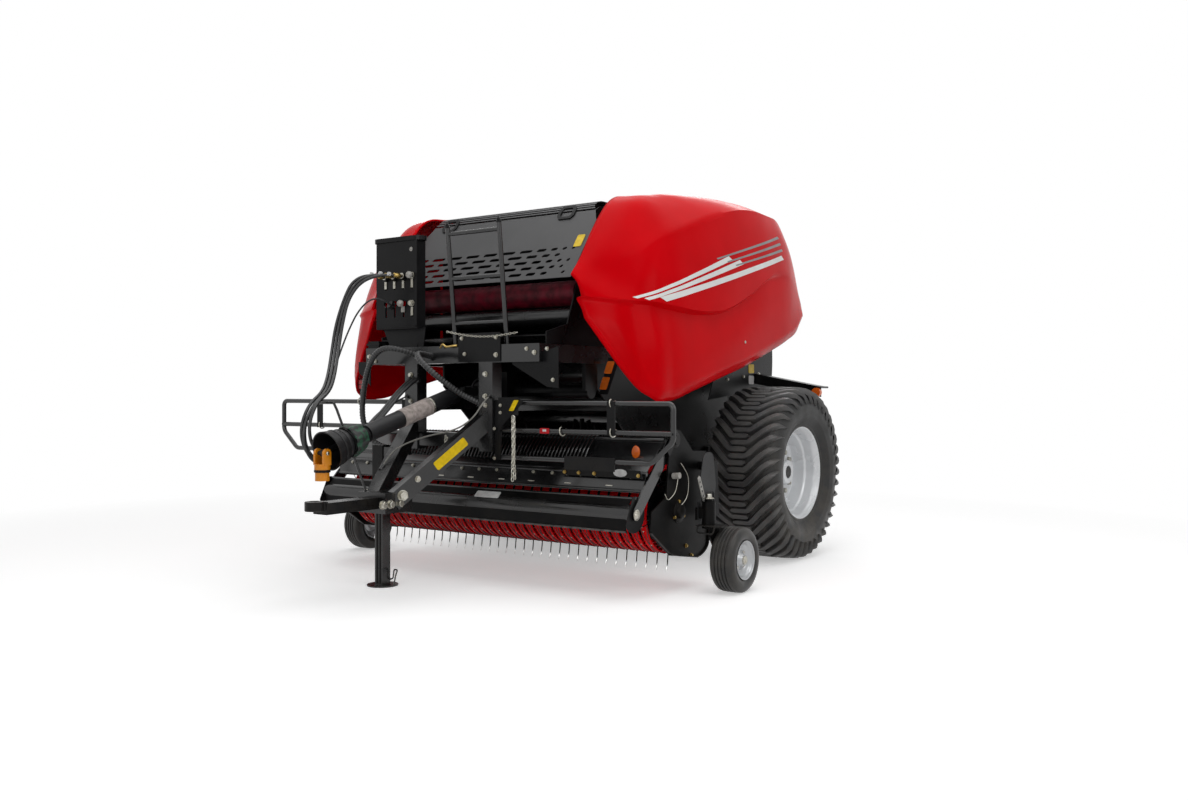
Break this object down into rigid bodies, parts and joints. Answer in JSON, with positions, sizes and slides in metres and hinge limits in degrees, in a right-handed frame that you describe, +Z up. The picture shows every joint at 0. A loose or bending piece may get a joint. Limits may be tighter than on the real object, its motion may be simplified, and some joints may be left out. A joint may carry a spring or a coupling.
{
  "type": "round baler",
  "caption": "Towed fixed-chamber round baler with pickup reel, windguard, tailgate, lifting side panels, hood and jack.",
  "frame": {"origin": "on the ground below the middle of the outline, seen from above", "axes": "+Z up, -Y the direction of travel, +X the left side of the machine"},
  "size_m": [3.07, 4.0789, 2.348],
  "materials": {
    "tyre": "matt",
    "rim": "satin silver grey",
    "black_paint": "satin black",
    "red_panel": "gloss red moulded shell",
    "red_steel": "gloss red",
    "bare_steel": "worn steel",
    "spring_steel": "dark spring steel",
    "net_film": "wine-red film",
    "rubber": "satin",
    "guard_plastic": "satin black",
    "amber_cap": "amber",
    "orange_lens": "orange lens",
    "red_lens": "red lens"
  },
  "bodies": {
    "frame": {"axle": "black_paint", "cable_control": "rubber", "cable_safety": "bare_steel", "chamber_wall_left": "black_paint", "chamber_wall_right": "black_paint", "drawbar": "black_paint", "front_frame": "black_paint", "front_rollers": "bare_steel", "gearbox": "black_paint", "guard_rail_left": "black_paint", "guard_rail_right": "black_paint", "hose_box": "black_paint", "hose_conduits": "guard_plastic", "hose_lines": "rubber", "jack_sleeve": "black_paint", "ladder": "black_paint", "mudguard_left": "black_paint", "mudguard_right": "black_paint", "net_tray": "black_paint", "side_lamps": "orange_lens", "top_cover": "black_paint", "tow_eye": "black_paint"},
    "tailgate": {"tailgate_wall_left": "black_paint", "tailgate_wall_right": "black_paint", "tailgate_cover": "black_paint", "tail_rollers": "bare_steel", "tail_lamps": "red_lens"},
    "hood": {"hood": "black_paint"},
    "pickup": {"pickup_frame": "black_paint", "pickup_bands": "red_steel", "gauge_arm_left": "black_paint", "gauge_arm_right": "black_paint"},
    "reel": {"pickup_reel": "spring_steel"},
    "windguard": {"windguard": "black_paint"},
    "guard_roller": {"windguard_roller": "rubber"},
    "feed_rotor": {"feed_rotor": "black_paint"},
    "net_roll": {"net_roll": "net_film"},
    "net_feed_roller": {"net_feed_roller": "rubber"},
    "jack_leg": {"jack_leg": "black_paint"},
    "pto_tube": {"pto_tube": "guard_plastic"},
    "pto_cone": {"pto_cone": "guard_plastic"},
    "pto_yoke": {"pto_yoke": "amber_cap"},
    "wheel_left": {"tyre_left": "tyre", "rim_left": "rim"},
    "gauge_fork_left": {"gauge_fork_left": "black_paint"},
    "gauge_wheel_left": {"gauge_tyre_left": "tyre", "gauge_rim_left": "rim"},
    "side_panel_left": {"side_panel_left": "red_panel"},
    "cylinder_left": {"cylinder_left": "black_paint"},
    "cylinder_rod_left": {"cylinder_rod_left": "bare_steel"},
    "wheel_right": {"tyre_right": "tyre", "rim_right": "rim"},
    "gauge_fork_right": {"gauge_fork_right": "black_paint"},
    "gauge_wheel_right": {"gauge_tyre_right": "tyre", "gauge_rim_right": "rim"},
    "side_panel_right": {"side_panel_right": "red_panel"},
    "cylinder_right": {"cylinder_right": "black_paint"},
    "cylinder_rod_right": {"cylinder_rod_right": "bare_steel"}
  },
  "joints": [
    {"name": "tailgate_hinge", "type": "hinge", "parent": "frame", "child": "tailgate", "pos_m": [0, 1.114, 2.268], "axis": [1, 0, 0], "range_deg": [0, 60]},
    {"name": "hood_hinge", "type": "hinge", "parent": "frame", "child": "hood", "pos_m": [0, 0.194, 2.25], "axis": [-1, 0, 0], "range_deg": [0, 40]},
    {"name": "pickup_lift", "type": "hinge", "parent": "frame", "child": "pickup", "pos_m": [0, 0.094, 0.7], "axis": [-1, 0, 0], "range_deg": [0, 10]},
    {"name": "reel_spin", "type": "hinge", "parent": "pickup", "child": "reel", "pos_m": [0, -0.446, 0.45], "axis": [1, 0, 0], "continuous": true},
    {"name": "windguard_hinge", "type": "hinge", "parent": "pickup", "child": "windguard", "pos_m": [0, -0.486, 0.85], "axis": [-1, 0, 0], "range_deg": [0, 8]},
    {"name": "windguard_roller_spin", "type": "hinge", "parent": "windguard", "child": "guard_roller", "pos_m": [0, -0.856, 0.467], "axis": [1, 0, 0], "continuous": true},
    {"name": "feed_rotor_spin", "type": "hinge", "parent": "frame", "child": "feed_rotor", "pos_m": [0, 0.254, 0.7], "axis": [1, 0, 0], "continuous": true},
    {"name": "net_roll_spin", "type": "hinge", "parent": "frame", "child": "net_roll", "pos_m": [0, -0.566, 1.688], "axis": [1, 0, 0], "continuous": true},
    {"name": "net_feed_spin", "type": "hinge", "parent": "frame", "child": "net_feed_roller", "pos_m": [0, -0.601, 1.552], "axis": [1, 0, 0], "continuous": true},
    {"name": "jack_slide", "type": "slide", "parent": "frame", "child": "jack_leg", "axis": [0, 0, 1], "range_m": [0, 0.35]},
    {"name": "pto_swing", "type": "hinge", "parent": "frame", "child": "pto_tube", "pos_m": [0, -0.876, 1.12], "axis": [-1, 0, 0], "range_deg": [-2, 18]},
    {"name": "pto_telescope", "type": "slide", "parent": "pto_tube", "child": "pto_cone", "axis": [0, -0.9588, -0.284], "range_m": [0, 0.25]},
    {"name": "pto_yoke_joint", "type": "hinge", "parent": "pto_cone", "child": "pto_yoke", "pos_m": [0, -1.94029, 0.80474], "axis": [-1, 0, 0], "range_deg": [-5, 60]},
    {"name": "wheel_spin_left", "type": "hinge", "parent": "frame", "child": "wheel_left", "pos_m": [1.08, 1.054, 0.575], "axis": [1, 0, 0], "continuous": true},
    {"name": "gauge_swivel_left", "type": "hinge", "parent": "pickup", "child": "gauge_fork_left", "pos_m": [1.345, -0.346, 0.372], "axis": [0, 0, 1], "range_deg": [-25, 25]},
    {"name": "gauge_spin_left", "type": "hinge", "parent": "gauge_fork_left", "child": "gauge_wheel_left", "pos_m": [1.46, -0.256, 0.182], "axis": [1, 0, 0], "continuous": true},
    {"name": "side_panel_hinge_left", "type": "hinge", "parent": "frame", "child": "side_panel_left", "pos_m": [0.74, 0.429, 2.27], "axis": [0, -1, 0], "range_deg": [0, 60]},
    {"name": "cylinder_pivot_left", "type": "hinge", "parent": "frame", "child": "cylinder_left", "pos_m": [0.672, 0.634, 1.2], "axis": [1, 0, 0], "range_deg": [0, 9.9]},
    {"name": "cylinder_rod_left", "type": "slide", "parent": "cylinder_left", "child": "cylinder_rod_left", "axis": [0, 0.6983, 0.7158], "range_m": [0, 0.35]},
    {"name": "wheel_spin_right", "type": "hinge", "parent": "frame", "child": "wheel_right", "pos_m": [-1.08, 1.054, 0.575], "axis": [1, 0, 0], "continuous": true},
    {"name": "gauge_swivel_right", "type": "hinge", "parent": "pickup", "child": "gauge_fork_right", "pos_m": [-1.345, -0.346, 0.372], "axis": [0, 0, 1], "range_deg": [-25, 25]},
    {"name": "gauge_spin_right", "type": "hinge", "parent": "gauge_fork_right", "child": "gauge_wheel_right", "pos_m": [-1.46, -0.256, 0.182], "axis": [1, 0, 0], "continuous": true},
    {"name": "side_panel_hinge_right", "type": "hinge", "parent": "frame", "child": "side_panel_right", "pos_m": [-0.74, 0.429, 2.27], "axis": [0, 1, 0], "range_deg": [0, 60]},
    {"name": "cylinder_pivot_right", "type": "hinge", "parent": "frame", "child": "cylinder_right", "pos_m": [-0.672, 0.634, 1.2], "axis": [1, 0, 0], "range_deg": [0, 9.9]},
    {"name": "cylinder_rod_right", "type": "slide", "parent": "cylinder_right", "child": "cylinder_rod_right", "axis": [0, 0.6983, 0.7158], "range_m": [0, 0.35]}
  ],
  "couplings": [
    {"joint": "cylinder_pivot_left", "follows": "tailgate_hinge", "ratio": 0.15502},
    {"joint": "cylinder_rod_left", "follows": "tailgate_hinge", "m_per_rad": 0.32942},
    {"joint": "cylinder_pivot_right", "follows": "tailgate_hinge", "ratio": 0.15502},
    {"joint": "cylinder_rod_right", "follows": "tailgate_hinge", "m_per_rad": 0.32942}
  ]
}
